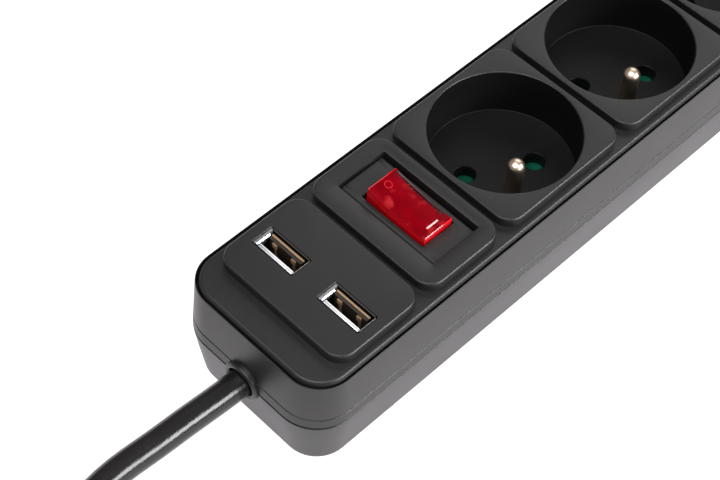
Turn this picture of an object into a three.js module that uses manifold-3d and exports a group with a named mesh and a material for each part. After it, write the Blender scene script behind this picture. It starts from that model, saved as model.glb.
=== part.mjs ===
// A mains power strip: five earthed sockets with shutters, an illuminated rocker switch and two
// USB charging ports. Its cord is folded into a tied hank that lies in line with the casing.
// Millimetres, +Z up, +X along the strip away from the cord, origin under the casing's centre.
import * as THREE from 'three';
import { mergeVertices } from 'three/addons/utils/BufferGeometryUtils.js';
import Module from 'manifold-3d';

const wasm = await Module();
wasm.setup();

// ---------- driving dimensions ----------
const SOCKETS = 5;
const GAP = 0.3; // between pieces that touch on the real object
const WALL = 2;

// casing
const RIM_HALF_Y = 24.5;
const CORNER_R = 10.5;
const FLARE = 1; // the wall leans out by this much from the rim down to the parting line
const END_LEAN = 0.9; // and the two end walls by this much more
const PARTING_Z = 18.4;
const LINE_Z = 21.8; // groove line round the upper frame
const RIM_Z = 34.6;
const DECK_Z = 35.2; // the cover stands a little above the rim, with a groove between them
const GROOVE_IN = -0.5; // the groove's sides, from the rim's outline
const COVER_OUT = -1.2;
const PAD_Z = 38;
const COVER_UNDER_Z = 32.6;
const SEAT_Z = COVER_UNDER_Z - GAP; // the cover rests here on the frame, the cups hang from it
const TRAY_TOP_Z = PARTING_Z - GAP / 2;
const FRAME_BOTTOM_Z = PARTING_Z + GAP / 2;

// raised pads on the deck, in order from the cord end
const END_MARGIN = 10.2;
const USB_PAD = 28;
const SWITCH_PAD = 26.4;
const SOCKET_PAD = 43.2;
const PAD_GAP = 1.8;
const PAD_CORNER_R = 5;
const PITCH = SOCKET_PAD + PAD_GAP;
const HALF_X = END_MARGIN + (USB_PAD + SWITCH_PAD + PAD_GAP + SOCKETS * PITCH) / 2;
const USB_PAD_X = -HALF_X + END_MARGIN + USB_PAD / 2;
const SWITCH_PAD_X = USB_PAD_X + (USB_PAD + SWITCH_PAD) / 2 + PAD_GAP;
const FIRST_SOCKET_X = SWITCH_PAD_X + (SWITCH_PAD + SOCKET_PAD) / 2 + PAD_GAP;
const SOCKET_XS = Array.from({ length: SOCKETS }, (_, i) => FIRST_SOCKET_X + i * PITCH);

// six screws from below, in bosses near the side walls
const BOSS_R = 3.4;
const SCREW_R = 1.3;
const SCREW_HEAD_R = 2.7;
const HEAD_WELL_Z = 3;
const SCREW_TOP_Z = 29;
const BOSS_Y = 18.4;
const BOSS_XS = [-HALF_X + 8, (SOCKET_XS[1] + SOCKET_XS[2]) / 2, HALF_X - 8];
const bossSpots = BOSS_XS.flatMap((x) => [[x, -BOSS_Y], [x, BOSS_Y]]);

// sockets: a 40 mm well with two pin holes 19 mm apart and a 14 mm earth pin
const WELL_R = 20;
const WELL_FLOOR_Z = 23;
const PIN_SPACING = 19;
const PIN_R = 2.4;
const PIN_FLANGE_Z = [16.7, 18.2]; // the foot of the earth pin, on the earth busbar
const EARTH_OFFSET = 10;
const SOCKET_TURN = THREE.MathUtils.degToRad(-30);
const HOLE_X = (PIN_SPACING / 2) * Math.cos(SOCKET_TURN);
const HOLE_Y = (PIN_SPACING / 2) * Math.sin(SOCKET_TURN);
const EARTH_X = EARTH_OFFSET * Math.sin(SOCKET_TURN);
const EARTH_Y = -EARTH_OFFSET * Math.cos(SOCKET_TURN);

// each socket's shutter hangs under the well's floor and slides across the line of its holes
const SHUTTER_ALONG = 12.8;
const SHUTTER_ACROSS = 3.9;
const SHUTTER_TOP_Z = 18.8;
const SHUTTER_BOTTOM_Z = SHUTTER_TOP_Z - 2;
const SHUTTER_BAR = [-2.4, 2.8];
const SKIRT_R = WELL_R - 0.6;
const SPRING_SEAT = 18.3;

// busbars: strips of brass with a pair of leaves round each plug pin
const LEAF = 0.8;
const CONTACT_HALF = PIN_R + GAP;
const BUSBAR_Z = 7;
const BUSBAR_TOP_Z = 13;
const CONTACT_TOP_Z = 16;
const BAR_START_X = SOCKET_XS[0] - 16;
const BAR_END_X = SOCKET_XS[SOCKETS - 1] + 15;

// switch
const SWITCH_X = -96.3;
const SWITCH_HALF = [7.8, 16.1];
const BEZEL_Z = 36.8;
const ROCKER_HALF = [4.9, 10];
const ROCKER_END_Z = 6.9; // its top's height at either end, over the pivot
const ROCKER_PIVOT_Z = 33;
const ROCKER_TILT = THREE.MathUtils.degToRad(6); // far end up when the switch is on
const HOUSING_BOTTOM_Z = 11;
const TERMINAL_YS = [-9, 0, 9];

// USB ports
const PORT_X = -128.2;
const PORT_Y = 11.35;
const PORT_HALF = [2.95, 6.65];
const BOARD_Z = 22.4;
const PORT_BOTTOM_Z = BOARD_Z + 1.6 + GAP;
const CAPACITOR_R = 3.6;

// mains cord
const CORD_D = 7.4;
const CORD_R = CORD_D / 2;
const COLLAR_R = 5.9;
const COLLAR_OUT = 1.4;
const CORD_END_X = -HALF_X + 12.4;
const CLAMP_X = -HALF_X + 6.6;
const CLAMP_Z = 17.6;
const CLAMP_SCREW_YS = [-8.8, 8.8];

// the cord's hank lies flat on the floor in two layers of two turns
const HANK_NEAR_X = -243;
const HANK_RUN = 83;
const HANK_INNER_R = 20.4;
const HANK_OUTER_R = 28;
const HANK_TOP_Z = 14.9;
const HANK_FAR_X = HANK_NEAR_X - HANK_RUN;
const OVER_HANK_Z = HANK_TOP_Z + GAP + CORD_R;

// plug, its relief starting just past the hank
const PLUG_X = -357;
const PLUG_Y = -13;
const PLUG_R = 18.5;
const PLUG_PIN_OUT = 19;
const RELIEF_LENGTH = 30;
const RELIEF_END_X = PLUG_X - RELIEF_LENGTH;
const PLUG_FACE_X = RELIEF_END_X - 34;

// ---------- materials ----------
const paint = (color, roughness, metalness = 0) =>
  new THREE.MeshStandardMaterial({ color, roughness, metalness });
const blackPlastic = paint(0x2b2b2c, 0.55);
const wellPlastic = paint(0x232324, 0.6);
const cordBlack = paint(0x141414, 0.3);
const nickel = paint(0xd8d2c6, 0.2, 1);
const steel = paint(0xa8a8a6, 0.35, 1);
const brass = paint(0xc9a24a, 0.35, 1);
const shutterGreen = paint(0x007a5c, 0.45);
const rockerRed = paint(0xc8001e, 0.2);
const glass = paint(0xe8b890, 0.1);
const boardGreen = paint(0x1d5a34, 0.5);
const tongueCream = paint(0xd9c7a3, 0.45);
const coreYellow = paint(0x8a5a2a, 0.5);
const wireBrown = paint(0x5a3520, 0.45);
const wireBlue = paint(0x1c4fa0, 0.45);
const wireGreenYellow = paint(0x6a9a20, 0.45);

// ---------- shape helpers ----------
function solid(geometry) {
  const bare = geometry.clone();
  bare.deleteAttribute('normal');
  bare.deleteAttribute('uv');
  const merged = mergeVertices(bare, 1e-4);
  const vertProperties = new Float32Array(merged.attributes.position.array);
  const triVerts = new Uint32Array(merged.index.array);
  return new wasm.Manifold(new wasm.Mesh({ numProp: 3, vertProperties, triVerts }));
}

const union = (pieces) => pieces.reduce((all, piece) => all.add(piece));

function box(x0, x1, y0, y1, z0, z1) {
  const geometry = new THREE.BoxGeometry(x1 - x0, y1 - y0, z1 - z0);
  geometry.translate((x0 + x1) / 2, (y0 + y1) / 2, (z0 + z1) / 2);
  return solid(geometry);
}

// a box given by its centre in X and Y
const block = (x, y, sx, sy, z0, z1) => box(x - sx / 2, x + sx / 2, y - sy / 2, y + sy / 2, z0, z1);

function revolve(points, sides, x = 0, y = 0) {
  const profile = points.map(([r, z]) => new THREE.Vector2(r, z));
  const geometry = new THREE.LatheGeometry(profile, sides);
  geometry.rotateX(Math.PI / 2);
  geometry.translate(x, y, 0);
  return solid(geometry);
}

const post = (x, y, r, z0, z1, sides = 16) => revolve([[0, z0], [r, z0], [r, z1], [0, z1]], sides, x, y);

// a round bar along X
function barX(r, x0, x1, y, z, sides = 16) {
  const geometry = new THREE.CylinderGeometry(r, r, x1 - x0, sides);
  geometry.rotateZ(Math.PI / 2);
  geometry.translate((x0 + x1) / 2, y, z);
  return solid(geometry);
}

// a solid of revolution about a line parallel to X, from [x, radius] points
function turnedX(points, sides, y, z) {
  const profile = points.map(([x, r]) => new THREE.Vector2(r, x));
  const geometry = new THREE.LatheGeometry(profile, sides);
  geometry.rotateZ(-Math.PI / 2);
  geometry.translate(0, y, z);
  return solid(geometry);
}

function roundRect(halfX, halfY, r) {
  const shape = new THREE.Shape();
  shape.moveTo(-halfX + r, -halfY);
  shape.lineTo(halfX - r, -halfY);
  shape.absarc(halfX - r, -halfY + r, r, -Math.PI / 2, 0);
  shape.lineTo(halfX, halfY - r);
  shape.absarc(halfX - r, halfY - r, r, 0, Math.PI / 2);
  shape.lineTo(-halfX + r, halfY);
  shape.absarc(-halfX + r, halfY - r, r, Math.PI / 2, Math.PI);
  shape.lineTo(-halfX, -halfY + r);
  shape.absarc(-halfX + r, -halfY + r, r, Math.PI, 1.5 * Math.PI);
  return shape;
}

function slab(shape, z0, z1, curveSegments = 4) {
  const geometry = new THREE.ExtrudeGeometry(shape, { depth: z1 - z0, bevelEnabled: false, curveSegments });
  geometry.translate(0, 0, z0);
  return solid(geometry);
}

const endLean = (z) =>
  END_LEAN * THREE.MathUtils.clamp((z - PARTING_Z) / (RIM_Z - PARTING_Z), 0, 1);

// Rounded rectangles stacked in Z: each level is [how far outside the rim outline, z].
function stack(levels, arc = 4) {
  const positions = [];
  const indices = [];
  const ringSize = 4 * (arc + 1);
  for (const [out, z] of levels) {
    const r = Math.max(CORNER_R + out - endLean(z), 0.5);
    const halfX = HALF_X + out - endLean(z);
    for (let corner = 0; corner < 4; corner++) {
      const cx = (corner === 0 || corner === 3 ? 1 : -1) * (halfX - r);
      const cy = (corner < 2 ? 1 : -1) * (RIM_HALF_Y + out - r);
      for (let k = 0; k <= arc; k++) {
        const angle = ((corner + k / arc) * Math.PI) / 2;
        positions.push(cx + r * Math.cos(angle), cy + r * Math.sin(angle), z);
      }
    }
  }
  for (let level = 0; level + 1 < levels.length; level++) {
    for (let k = 0; k < ringSize; k++) {
      const a = level * ringSize + k;
      const b = level * ringSize + ((k + 1) % ringSize);
      indices.push(a, b, b + ringSize, a, b + ringSize, a + ringSize);
    }
  }
  const last = (levels.length - 1) * ringSize;
  for (let k = 1; k + 1 < ringSize; k++) {
    indices.push(0, k + 1, k, last, last + k, last + k + 1);
  }
  const geometry = new THREE.BufferGeometry();
  geometry.setAttribute('position', new THREE.Float32BufferAttribute(positions, 3));
  geometry.setIndex(indices);
  return solid(geometry);
}

// a round tube along points, as a polygon section swept with one step per span
function tube(points, radius, sides, steps) {
  const curve = new THREE.CatmullRomCurve3(points.map((p) => new THREE.Vector3(...p)), false, 'centripetal');
  const section = new THREE.Shape();
  for (let k = 0; k < sides; k++) {
    const angle = (2 * Math.PI * k) / sides;
    section[k ? 'lineTo' : 'moveTo'](radius * Math.cos(angle), radius * Math.sin(angle));
  }
  return solid(new THREE.ExtrudeGeometry(section, { steps, bevelEnabled: false, extrudePath: curve }));
}

const part = new THREE.Group();

function addMesh(name, body, material, parent = part) {
  const { vertProperties, triVerts, numProp } = body.getMesh();
  const positions = new Float32Array((vertProperties.length / numProp) * 3);
  for (let v = 0; v * numProp < vertProperties.length; v++) {
    positions.set(vertProperties.subarray(v * numProp, v * numProp + 3), v * 3);
  }
  const geometry = new THREE.BufferGeometry();
  geometry.setAttribute('position', new THREE.BufferAttribute(positions, 3));
  geometry.setIndex(new THREE.BufferAttribute(triVerts, 1));
  geometry.computeVertexNormals();
  const mesh = new THREE.Mesh(geometry, material);
  mesh.name = name;
  parent.add(mesh);
  return mesh;
}

// ---------- casing ----------
const cordHole = () => barX(CORD_R + GAP, -HALF_X - 6, -HALF_X + 6, 0, PARTING_Z, 24);
const collar = () => barX(COLLAR_R, -HALF_X - FLARE - COLLAR_OUT, -HALF_X + 0.6, 0, PARTING_Z, 24);
const below = (z) => box(-HALF_X - 9, HALF_X + 9, -40, 40, -9, z);
const above = (z) => box(-HALF_X - 9, HALF_X + 9, -40, 40, z, 60);

// the half of a screw boss from z0 to z1, with the web that ties it to the side wall
function boss([x, y], z0, z1) {
  const side = Math.sign(y);
  const web = box(x - 1, x + 1, Math.min(y, side * 22.8), Math.max(y, side * 22.8), z0, z1);
  return post(x, y, BOSS_R, z0, z1, 12).add(web);
}

function lowerTray() {
  const outer = stack([[-3.5, 0], [-2, 0.5], [-1.2, 1.4], [-1, 2.5], [FLARE, TRAY_TOP_Z]]);
  const inner = stack([[-4.6, WALL], [-1 - WALL, 3.4], [FLARE - WALL, TRAY_TOP_Z + 1]]);
  let tray = outer.subtract(inner);
  for (const spot of bossSpots) tray = tray.add(boss(spot, WALL - 0.5, TRAY_TOP_Z));
  // feet under the busbars and the seats of the cord clamp's screws
  for (const x of [SOCKET_XS[0] - 14, SOCKET_XS[2] - 15, SOCKET_XS[SOCKETS - 1] + 14]) {
    tray = tray.add(block(x, 0, 2, 18, WALL - 0.5, BUSBAR_Z - GAP));
  }
  tray = tray.add(block(CLAMP_X, 0, 6, 7, WALL - 0.5, PARTING_Z - CORD_R - GAP));
  for (const y of CLAMP_SCREW_YS) tray = tray.add(post(CLAMP_X, y, 2.8, WALL - 0.5, CLAMP_Z - GAP, 12));
  tray = tray.add(collar().intersect(below(TRAY_TOP_Z))).subtract(cordHole());
  for (const [x, y] of bossSpots) {
    tray = tray.subtract(post(x, y, SCREW_R + GAP, -1, TRAY_TOP_Z + 1, 12));
    tray = tray.subtract(post(x, y, SCREW_HEAD_R + GAP, -1, HEAD_WELL_Z, 16));
  }
  for (const y of CLAMP_SCREW_YS) tray = tray.subtract(post(CLAMP_X, y, SCREW_R + GAP, 6, 30, 12));
  return tray;
}

function upperFrame() {
  const outer = stack([
    [FLARE, FRAME_BOTTOM_Z],
    [FLARE - 0.18, LINE_Z - 0.3],
    [FLARE - 0.65, LINE_Z - 0.08],
    [FLARE - 0.65, LINE_Z + 0.08],
    [FLARE - 0.21, LINE_Z + 0.3],
    [0.1, RIM_Z - 0.4],
    [-0.2, RIM_Z],
  ]);
  // a ledge runs round the inside of the rim to carry the cover
  const ledgeZ = SEAT_Z - 1.6;
  const inside = -WALL + 0.1;
  const cavity = stack([[inside, FRAME_BOTTOM_Z - 1], [inside, ledgeZ], [-2.6, ledgeZ], [-2.6, SEAT_Z + 1]]);
  const rebate = stack([[GROOVE_IN, SEAT_Z], [GROOVE_IN, RIM_Z + 1]]);
  let frame = outer.subtract(cavity).subtract(rebate);
  for (const spot of bossSpots) frame = frame.add(boss(spot, FRAME_BOTTOM_Z, SEAT_Z));
  frame = frame.add(collar().intersect(above(FRAME_BOTTOM_Z))).subtract(cordHole());
  for (const [x, y] of bossSpots) {
    frame = frame.subtract(post(x, y, SCREW_R + GAP, FRAME_BOTTOM_Z - 1, SCREW_TOP_Z + GAP, 12));
  }
  return frame;
}

const pad = (x, length) => {
  const levels = [[0, COVER_UNDER_Z + 1, PAD_Z - 0.5], [0.5, PAD_Z - 0.6, PAD_Z]];
  return union(levels.map(([inset, z0, z1]) =>
    slab(roundRect(length / 2 - inset, SOCKET_PAD / 2 - inset, PAD_CORNER_R - inset), z0, z1)
      .translate([x, 0, 0])));
};

function topCover() {
  const deck = stack([[COVER_OUT, COVER_UNDER_Z], [COVER_OUT, DECK_Z - 0.4], [COVER_OUT - 0.4, DECK_Z]]);
  let cover = deck.add(pad(USB_PAD_X, USB_PAD)).add(pad(SWITCH_PAD_X, SWITCH_PAD));
  for (const x of SOCKET_XS) {
    cover = cover.add(pad(x, SOCKET_PAD)).subtract(post(x, 0, WELL_R, 30, 40, 36));
  }
  const [switchX, switchY] = SWITCH_HALF.map((half) => 2 * (half + GAP));
  cover = cover.subtract(block(SWITCH_X, 0, switchX, switchY, 30, 40));
  for (const side of [1, -1]) {
    const [portX, portY] = PORT_HALF.map((half) => 2 * (half + GAP));
    cover = cover.subtract(block(PORT_X, side * PORT_Y, portX, portY, 30, 40));
  }
  return cover;
}

// ---------- cord clamp ----------
function cordClamp() {
  const bar = box(CLAMP_X - 2.6, CLAMP_X + 2.6, -12, 12, CLAMP_Z, CLAMP_Z + 2.4);
  const arch = barX(CORD_R + 2.2, CLAMP_X - 2.6, CLAMP_X + 2.6, 0, PARTING_Z, 20).intersect(above(CLAMP_Z));
  let clamp = bar.add(arch).subtract(barX(CORD_R + GAP, CLAMP_X - 5, CLAMP_X + 5, 0, PARTING_Z, 20));
  clamp = clamp.subtract(box(CLAMP_X - 5, CLAMP_X + 5, -CORD_R - GAP, CORD_R + GAP, 10, PARTING_Z));
  for (const y of CLAMP_SCREW_YS) clamp = clamp.subtract(post(CLAMP_X, y, SCREW_R + GAP, 10, 30, 12));
  return clamp;
}

function clampScrew(y) {
  const headZ = CLAMP_Z + 2.4 + GAP;
  return post(CLAMP_X, y, SCREW_R, 8, headZ + 0.5, 10).add(post(CLAMP_X, y, 2.4, headZ, headZ + 1.8, 14));
}

function caseScrew([x, y]) {
  const slot = box(x - 2, x + 2, y - 0.4, y + 0.4, 0, 1.3);
  const head = post(x, y, SCREW_HEAD_R, 0.6, HEAD_WELL_Z - GAP, 16);
  return head.add(post(x, y, SCREW_R, 2, SCREW_TOP_Z, 10)).subtract(slot);
}

// ---------- sockets ----------
// Points along and across the line through a socket's two pin holes.
const acrossHoles = (x, along, across) => [
  x + along * Math.cos(SOCKET_TURN) - across * Math.sin(SOCKET_TURN),
  along * Math.sin(SOCKET_TURN) + across * Math.cos(SOCKET_TURN),
];

// a box whose sides run along and across the hole line
function turnedBox(x, a0, a1, c0, c1, z0, z1) {
  return box(a0, a1, c0, c1, z0, z1)
    .rotate([0, 0, THREE.MathUtils.radToDeg(SOCKET_TURN)])
    .translate([x, 0, 0]);
}

function socketCup(x) {
  const outerR = WELL_R + 1.2;
  const skirtZ = SHUTTER_BOTTOM_Z;
  const underFloorZ = WELL_FLOOR_Z - WALL;
  const wall = [[0, underFloorZ], [SKIRT_R, underFloorZ], [SKIRT_R, skirtZ],
    [outerR, skirtZ], [outerR, SEAT_Z], [WELL_R, SEAT_Z], [WELL_R, WELL_FLOOR_Z], [0, WELL_FLOOR_Z]];
  let cup = revolve(wall, 36, x);
  // rails that guide the shutter's two ends
  for (const side of [1, -1]) {
    const middle = side * (SHUTTER_ALONG + GAP + 0.8);
    cup = cup.add(turnedBox(x, middle - 0.8, middle + 0.8, -6, 11, SHUTTER_BOTTOM_Z, underFloorZ + 0.5));
  }
  for (const side of [1, -1]) {
    cup = cup.subtract(post(x + side * HOLE_X, side * HOLE_Y, 2.8, 19, 25, 14));
  }
  return cup.subtract(post(x + EARTH_X, EARTH_Y, PIN_R + GAP, 10, 30, 14));
}

function earthPin(x) {
  const tipZ = PAD_Z - 0.2;
  const [footZ, flangeZ] = PIN_FLANGE_Z;
  const flangeR = PIN_R + 1;
  const profile = [[0, footZ], [flangeR, footZ], [flangeR, flangeZ], [PIN_R, flangeZ], [PIN_R, tipZ - PIN_R]];
  for (const angle of [20, 40, 60, 78]) {
    const a = THREE.MathUtils.degToRad(angle);
    profile.push([PIN_R * Math.cos(a), tipZ - PIN_R + PIN_R * Math.sin(a)]);
  }
  return revolve([...profile, [0, tipZ]], 14, x + EARTH_X, EARTH_Y);
}

// a bar under both holes, with a plate under each hole that a plug's pins push aside
function shutter(x) {
  const barTopZ = SHUTTER_TOP_Z - 0.6;
  let bar = turnedBox(x, -SHUTTER_ALONG, SHUTTER_ALONG, ...SHUTTER_BAR, SHUTTER_BOTTOM_Z, barTopZ);
  for (const side of [1, -1]) {
    const [a0, a1] = [(side * PIN_SPACING) / 2 - 3.2, (side * PIN_SPACING) / 2 + 3.2];
    bar = bar.add(turnedBox(x, a0, a1, -SHUTTER_ACROSS, SHUTTER_ACROSS, SHUTTER_BOTTOM_Z, SHUTTER_TOP_Z));
  }
  return bar;
}

// a strip bent into a Z between the cup's skirt and the shutter, which it pushes over the holes
function shutterSpring(x) {
  const tip = SHUTTER_BAR[1] + GAP;
  const bend = (tip + SPRING_SEAT) / 2;
  const strip = new THREE.Shape();
  strip.moveTo(-4, SPRING_SEAT);
  strip.lineTo(3.2, SPRING_SEAT);
  strip.lineTo(-3.6, bend);
  strip.lineTo(3.4, tip);
  strip.lineTo(3.9, tip + 0.1);
  strip.lineTo(-2.6, bend);
  strip.lineTo(4, SPRING_SEAT + 0.4);
  strip.lineTo(-4, SPRING_SEAT + 0.4);
  return slab(strip, SHUTTER_BOTTOM_Z + 0.2, SHUTTER_TOP_Z - 0.2)
    .rotate([0, 0, THREE.MathUtils.radToDeg(SOCKET_TURN)])
    .translate([x, 0, 0]);
}

// ---------- busbars ----------
// A strip along X with a pair of leaves round each plug pin; side is the pin row, +1 or -1.
function busbar(side) {
  const rowY = -side * HOLE_Y;
  // t0 and t1 run from the row of pins towards the nearer side wall
  const strip = (x0, x1, t0, t1, z1) => {
    const [y0, y1] = side > 0 ? [rowY + t0, rowY + t1] : [rowY - t1, rowY - t0];
    return box(x0, x1, y0, y1, BUSBAR_Z, z1);
  };
  const outside = CONTACT_HALF + LEAF;
  let bar = strip(BAR_START_X, BAR_END_X, CONTACT_HALF, outside, BUSBAR_TOP_Z);
  for (const socketX of SOCKET_XS) {
    const x = socketX - side * HOLE_X;
    bar = bar.add(strip(x - 3.6, x + 3.6, CONTACT_HALF, outside, CONTACT_TOP_Z));
    bar = bar.add(strip(x - 3.6, x + 3.6, -outside, -CONTACT_HALF, CONTACT_TOP_Z));
    bar = bar.add(strip(x - 3.6, x - 3.6 + LEAF, -outside, outside, BUSBAR_TOP_Z));
  }
  return bar;
}

const earthBusbar = () => box(BAR_START_X, BAR_END_X, -12.8, -8.7, 15.2, 16.4);

// ---------- switch ----------
function switchHousing() {
  const [hx, hy] = SWITCH_HALF;
  const rim = block(SWITCH_X, 0, 2 * hx, 2 * hy, 30, BEZEL_Z);
  const body = block(SWITCH_X, 0, 2 * hx, 2 * hy - 4, HOUSING_BOTTOM_Z, 31);
  const opening = block(SWITCH_X, 0, 2 * ROCKER_HALF[0] + 1, 2 * ROCKER_HALF[1] + 1.2, 20, 40);
  const lampRoom = block(SWITCH_X, 0, 2 * ROCKER_HALF[0] + 1, 16, 13, 21);
  const housing = rim.add(body).subtract(opening).subtract(lampRoom);
  return housing.subtract(barX(1 + GAP, SWITCH_X - 20, SWITCH_X + 20, 0, ROCKER_PIVOT_Z, 12));
}

// a lens whose top dips to the middle, tilted so that its far end stands up
function rocker() {
  const [hx, hy] = ROCKER_HALF;
  const outline = new THREE.Shape();
  outline.moveTo(-hy + 1.6, -3.6);
  outline.lineTo(hy - 1.6, -3.6);
  outline.lineTo(hy, -1);
  outline.lineTo(hy, ROCKER_END_Z - 0.3);
  outline.lineTo(hy - 0.3, ROCKER_END_Z);
  outline.quadraticCurveTo(0, ROCKER_END_Z - 1.9, -hy + 0.3, ROCKER_END_Z);
  outline.lineTo(-hy, ROCKER_END_Z - 0.3);
  outline.lineTo(-hy, -1);
  const options = { depth: 2 * hx, bevelEnabled: false, curveSegments: 8 };
  const geometry = new THREE.ExtrudeGeometry(outline, options);
  geometry.translate(0, 0, -hx);
  geometry.rotateX(Math.PI / 2);
  geometry.rotateZ(Math.PI / 2);
  const lens = solid(geometry)
    .subtract(box(-hx + 1.2, hx - 1.2, -8.8, 8.8, -5, -2.2))
    .rotate([THREE.MathUtils.radToDeg(ROCKER_TILT), 0, 0])
    .translate([SWITCH_X, 0, ROCKER_PIVOT_Z]);
  return lens.subtract(barX(1 + GAP, SWITCH_X - 20, SWITCH_X + 20, 0, ROCKER_PIVOT_Z, 12));
}

const switchLamp = () => turnedX([[-4, 0], [-4, 1.4], [-3.2, 2], [3, 2], [4.4, 0]], 12, 0, 0)
  .rotate([0, 0, 90])
  .translate([SWITCH_X, 0, 17]);

const terminal = (y) => block(SWITCH_X, y, 6.3, 0.8, 4, HOUSING_BOTTOM_Z - GAP);

// ---------- USB supply ----------
const usbBoard = () => block(USB_PAD_X + 1.6, 0, 23, 38, BOARD_Z, BOARD_Z + 1.6);

function usbShell(side) {
  const y = side * PORT_Y;
  const [hx, hy] = PORT_HALF;
  const outer = block(PORT_X, y, 2 * hx, 2 * hy, PORT_BOTTOM_Z, PAD_Z);
  return outer.subtract(block(PORT_X, y, 2 * hx - 0.9, 2 * hy - 0.9, PORT_BOTTOM_Z - 1, PAD_Z + 1));
}

function usbTongue(side) {
  const y = side * PORT_Y;
  const [sx, sy] = PORT_HALF.map((half) => 2 * half - 1.5);
  const base = block(PORT_X, y, sx, sy, PORT_BOTTOM_Z, PORT_BOTTOM_Z + 2);
  return base.add(block(PORT_X + 0.95, y, 1.84, 11.1, PORT_BOTTOM_Z + 1, PAD_Z - 1));
}

const usbTransformer = () => block(USB_PAD_X + 2, 13.4, 12, 10, 12, BOARD_Z - GAP);

const usbCapacitor = () =>
  barX(CAPACITOR_R, USB_PAD_X - 4, USB_PAD_X + 8, -13, BOARD_Z - GAP - CAPACITOR_R, 14);

// ---------- cord ----------
// from the clamp straight out of the collar, then sideways onto the hank
const mainsCordRoute = [
  [CORD_END_X, 0, PARTING_Z],
  [-155, 0, PARTING_Z],
  [-175, 0.3, PARTING_Z + 0.5],
  [-195, 0.4, PARTING_Z + 1.2],
  [-211, -3.5, PARTING_Z + 1.2],
  [-227, -15, OVER_HANK_Z],
  [-243, -25, OVER_HANK_Z],
];
// off the top of the hank and level into the plug
const plugLeadRoute = [
  [-316, -18, OVER_HANK_Z],
  [-331, -14.6, OVER_HANK_Z],
  [-345, PLUG_Y, OVER_HANK_Z],
  [PLUG_X - 6, PLUG_Y, OVER_HANK_Z],
];

function stadium(radius) {
  const shape = new THREE.Shape();
  shape.moveTo(HANK_FAR_X, -radius);
  shape.lineTo(HANK_NEAR_X, -radius);
  shape.absarc(HANK_NEAR_X, 0, radius, -Math.PI / 2, Math.PI / 2);
  shape.lineTo(HANK_FAR_X, radius);
  shape.absarc(HANK_FAR_X, 0, radius, Math.PI / 2, 1.5 * Math.PI);
  return shape;
}

function cordHank() {
  const hole = stadium(HANK_INNER_R - CORD_R);
  return slab(stadium(HANK_OUTER_R + CORD_R), 0.1, HANK_TOP_Z, 12).subtract(slab(hole, -1, 20, 12));
}

// a flat strap over the hank's runs on its far side, its ends reaching down to the floor
function cordTie() {
  const x = (HANK_NEAR_X + HANK_FAR_X) / 2 + 6;
  const [inner, outer] = [HANK_INNER_R - CORD_R - GAP, HANK_OUTER_R + CORD_R + GAP];
  const band = box(x - 4, x + 4, inner - 0.8, outer + 0.8, 0.1, HANK_TOP_Z + GAP + 0.8);
  return band.subtract(box(x - 6, x + 6, inner, outer, -1, HANK_TOP_Z + GAP));
}

// ---------- plug ----------
const plugRelief = () => turnedX(
  [[RELIEF_END_X, 0], [RELIEF_END_X, 7.6], [PLUG_X, 5], [PLUG_X, 0]],
  16, PLUG_Y, OVER_HANK_Z,
).subtract(barX(CORD_R + GAP, RELIEF_END_X + 20, PLUG_X + 5, PLUG_Y, OVER_HANK_Z, 12));

function plugBody() {
  const [front, back] = [PLUG_FACE_X, RELIEF_END_X - GAP];
  const head = [[front, 0], [front, PLUG_R], [front + 15, PLUG_R]];
  const neck = [[front + 20, 14.5], [back - 3, 11.5], [back, 9], [back, 0]];
  const grip = turnedX([...head, ...neck], 28, PLUG_Y, OVER_HANK_Z);
  const earthBore = barX(2.7, front - 1, front + 15, PLUG_Y, OVER_HANK_Z + 10, 14);
  let body = grip.subtract(earthBore);
  for (const side of [1, -1]) {
    const pinY = PLUG_Y + (side * PIN_SPACING) / 2;
    body = body.subtract(barX(PIN_R + GAP, front - 1, front + 6, pinY, OVER_HANK_Z, 12));
    const notchY = PLUG_Y + side * PLUG_R;
    body = body.subtract(block(front + 6, notchY, 14, 4, OVER_HANK_Z - 2.6, OVER_HANK_Z + 2.6));
  }
  return body;
}

const plugPin = (side) => turnedX(
  [[-PLUG_PIN_OUT, 0], [-PLUG_PIN_OUT, 1], [1.4 - PLUG_PIN_OUT, PIN_R], [5, PIN_R], [5, 0]],
  12, PLUG_Y + (side * PIN_SPACING) / 2, OVER_HANK_Z,
).translate([PLUG_FACE_X, 0, 0]);

// ---------- wires inside ----------
const WIRE_R = 1.2;
const WIRE_START_X = CORD_END_X + GAP;
const [TERMINAL_IN_Y, , TERMINAL_OUT_Y] = TERMINAL_YS;
const wireRoutes = {
  wire_live: [[WIRE_START_X, -1.7, 19.6], [-134, -1.8, 19.4], [-127, -2.4, 17.8], [-118, -5, 11],
    [-110, -8.4, 5.6], [SWITCH_X - 7, TERMINAL_IN_Y, 4.7], [SWITCH_X - 3.7, TERMINAL_IN_Y, 4.7]],
  wire_neutral: [[WIRE_START_X, 1.7, 19.6], [-134, 1.8, 19.4], [-127, 2.4, 17.8], [-118, 5, 11],
    [-110, 8.4, 5.6], [SWITCH_X - 7, TERMINAL_OUT_Y, 4.7], [SWITCH_X - 3.7, TERMINAL_OUT_Y, 4.7]],
  wire_earth: [[WIRE_START_X, 0, 16.2], [-134, -0.8, 15.6], [-128, -4.6, 13], [-120, -12, 11.6],
    [-109, -17.2, 12.6], [-98, -17.8, 13], [-89, -16, 14], [BAR_START_X - 6, -11.6, 15.2],
    [BAR_START_X - 0.6, -10.8, 15.2]],
};

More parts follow.
